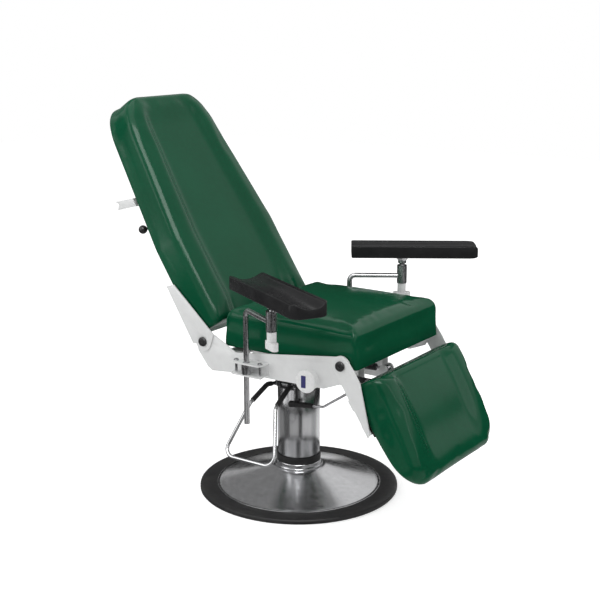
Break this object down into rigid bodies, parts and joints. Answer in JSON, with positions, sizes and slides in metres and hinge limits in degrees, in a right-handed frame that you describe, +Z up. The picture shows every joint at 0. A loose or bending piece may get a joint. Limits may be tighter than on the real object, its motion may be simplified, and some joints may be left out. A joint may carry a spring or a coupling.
{
  "type": "phlebotomy chair",
  "caption": "Swivel chair for taking blood: cushioned reclining back, seat and drop leg rest on a pump-up column with a dished round base and two swinging arm pads.",
  "frame": {"origin": "on the floor, on the vertical axis of the column", "axes": "+X is the way the patient faces, +Y is the patient's left, +Z is up"},
  "size_m": [1.2318, 1.0831, 1.2578],
  "materials": {
    "black_rubber": "matte",
    "chrome": "polished",
    "bright_steel": "satin",
    "black_steel": "satin",
    "white_paint": "gloss",
    "cast_black": "satin",
    "bronze": "satin",
    "white_plastic": "gloss",
    "blue_plastic": "satin",
    "black_plastic": "satin",
    "plywood": "satin",
    "green_vinyl": "gloss",
    "black_foam": "satin"
  },
  "bodies": {
    "base": {"base_plate": "black_steel", "base_rim": "black_rubber", "base_dome": "chrome", "base_neck": "chrome", "base_bolts": "bright_steel", "swivel_bearings": "bronze"},
    "ram": {"ram_tube": "chrome", "ram_piston": "bright_steel"},
    "chassis": {"column_cover": "chrome", "column_collar": "black_plastic", "hydraulic_cylinder": "bright_steel", "guide_bush": "bronze", "pump_head": "cast_black", "mount_plate": "black_steel", "mount_bolts": "bright_steel", "frame_rails": "white_paint", "frame_crossbars": "white_paint", "side_plate_right": "white_paint", "side_plate_left": "white_paint", "pivot_bolts": "black_steel", "end_caps": "white_plastic", "cap_inserts": "blue_plastic", "arm_brackets": "white_paint", "bracket_bolts": "black_steel", "seat_board": "plywood", "seat_cushion": "green_vinyl", "spring_pins": "bright_steel", "lever_mounts": "black_steel"},
    "pedal": {"pedal_shaft": "bright_steel", "pedal_stirrup": "chrome", "pedal_sleeves": "black_plastic"},
    "back": {"back_arms": "white_paint", "back_frame": "white_paint", "back_board": "plywood", "back_cushion": "green_vinyl", "roll_holder": "white_paint"},
    "back_release": {"back_lever": "chrome", "lever_ball": "black_plastic"},
    "back_spring": {"back_gas_cylinder": "black_steel"},
    "back_rod": {"back_gas_rod": "chrome"},
    "leg_rest": {"leg_arms": "white_paint", "leg_frame": "white_paint", "leg_board": "plywood", "leg_cushion": "green_vinyl"},
    "leg_release": {"leg_lever": "chrome", "leg_lever_grip": "black_plastic"},
    "leg_spring": {"leg_gas_cylinder": "black_steel"},
    "leg_rod": {"leg_gas_rod": "chrome"},
    "collar_right": {"arm_collar_right": "bright_steel"},
    "post_right": {"arm_post_right": "bright_steel"},
    "stem_right": {"pad_stem_right": "chrome"},
    "knob_right": {"wing_knob_right": "white_plastic"},
    "pad_right": {"pad_socket_right": "bright_steel", "arm_pad_right": "black_foam"},
    "collar_left": {"arm_collar_left": "bright_steel"},
    "post_left": {"arm_post_left": "bright_steel"},
    "stem_left": {"pad_stem_left": "chrome"},
    "knob_left": {"wing_knob_left": "white_plastic"},
    "pad_left": {"pad_socket_left": "bright_steel", "arm_pad_left": "black_foam"}
  },
  "joints": [
    {"name": "swivel", "type": "hinge", "parent": "base", "child": "ram", "pos_m": [0, 0, 0.08], "axis": [0, 0, 1], "continuous": true},
    {"name": "lift", "type": "slide", "parent": "ram", "child": "chassis", "axis": [0, 0, 1], "range_m": [0, 0.2]},
    {"name": "pedal_press", "type": "hinge", "parent": "chassis", "child": "pedal", "pos_m": [0, -0.074, 0.363], "axis": [1, 0, 0], "range_deg": [0, 20], "stiffness_Nm_per_rad": 8, "springref_deg": -20.05},
    {"name": "back_recline", "type": "hinge", "parent": "chassis", "child": "back", "pos_m": [-0.181, 0, 0.52], "axis": [0, 1, 0], "range_deg": [-57, 0]},
    {"name": "leg_raise", "type": "hinge", "parent": "chassis", "child": "leg_rest", "pos_m": [0.327, 0, 0.527], "axis": [0, 1, 0], "range_deg": [-55, 0]},
    {"name": "back_lever_pull", "type": "hinge", "parent": "back", "child": "back_release", "pos_m": [-0.45807, -0.072, 0.83865], "axis": [-0.5446, 0, 0.8387], "range_deg": [-12, 0], "stiffness_Nm_per_rad": 1, "springref_deg": 20.05},
    {"name": "leg_lever_press", "type": "hinge", "parent": "chassis", "child": "leg_release", "pos_m": [0.322, -0.1, 0.436], "axis": [0, 1, 0], "range_deg": [-8, 0], "stiffness_Nm_per_rad": 4, "springref_deg": 11.46},
    {"name": "back_spring_tilt", "type": "hinge", "parent": "chassis", "child": "back_spring", "pos_m": [-0.04, 0, 0.444], "axis": [0, 1, 0], "range_deg": [-5, 1]},
    {"name": "back_spring_stroke", "type": "slide", "parent": "back_spring", "child": "back_rod", "axis": [-0.9419, 0, 0.336], "range_m": [-0.031, 0.001]},
    {"name": "leg_spring_tilt", "type": "hinge", "parent": "chassis", "child": "leg_spring", "pos_m": [0.14, 0, 0.446], "axis": [0, 1, 0], "range_deg": [-6, 1]},
    {"name": "leg_spring_stroke", "type": "slide", "parent": "leg_spring", "child": "leg_rod", "axis": [0.9988, 0, 0.0481], "range_m": [-0.001, 0.065]},
    {"name": "arm_swing_right", "type": "hinge", "parent": "chassis", "child": "collar_right", "pos_m": [0.008, -0.289, 0.471], "axis": [0, 0, 1], "range_deg": [-62, 28]},
    {"name": "arm_height_right", "type": "slide", "parent": "collar_right", "child": "post_right", "axis": [0, 0, 1], "range_m": [-0.06, 0.1]},
    {"name": "pad_swivel_right", "type": "hinge", "parent": "post_right", "child": "stem_right", "pos_m": [0.1634, -0.37163, 0.66], "axis": [0, 0, 1], "range_deg": [-90, 90]},
    {"name": "knob_turn_right", "type": "hinge", "parent": "stem_right", "child": "knob_right", "pos_m": [0.1634, -0.37163, 0.6], "axis": [0, 0, 1], "continuous": true},
    {"name": "pad_tilt_right", "type": "hinge", "parent": "stem_right", "child": "pad_right", "pos_m": [0.1634, -0.37163, 0.704], "axis": [0.4695, 0.8829, 0], "range_deg": [-12, 12]},
    {"name": "arm_swing_left", "type": "hinge", "parent": "chassis", "child": "collar_left", "pos_m": [0.008, 0.289, 0.471], "axis": [0, 0, 1], "range_deg": [-33, 57]},
    {"name": "arm_height_left", "type": "slide", "parent": "collar_left", "child": "post_left", "axis": [0, 0, 1], "range_m": [-0.06, 0.1]},
    {"name": "pad_swivel_left", "type": "hinge", "parent": "post_left", "child": "stem_left", "pos_m": [0.15561, 0.38486, 0.66], "axis": [0, 0, 1], "range_deg": [-90, 90]},
    {"name": "knob_turn_left", "type": "hinge", "parent": "stem_left", "child": "knob_left", "pos_m": [0.15561, 0.38486, 0.6], "axis": [0, 0, 1], "continuous": true},
    {"name": "pad_tilt_left", "type": "hinge", "parent": "stem_left", "child": "pad_left", "pos_m": [0.15561, 0.38486, 0.704], "axis": [-0.5446, 0.8387, 0], "range_deg": [-12, 12]}
  ],
  "couplings": [
    {"joint": "back_spring_tilt", "follows": "back_recline", "ratio": 0.0715},
    {"joint": "back_spring_stroke", "follows": "back_recline", "m_per_rad": 0.03002},
    {"joint": "leg_spring_tilt", "follows": "leg_raise", "ratio": 0.0993},
    {"joint": "leg_spring_stroke", "follows": "leg_raise", "m_per_rad": -0.0665}
  ]
}
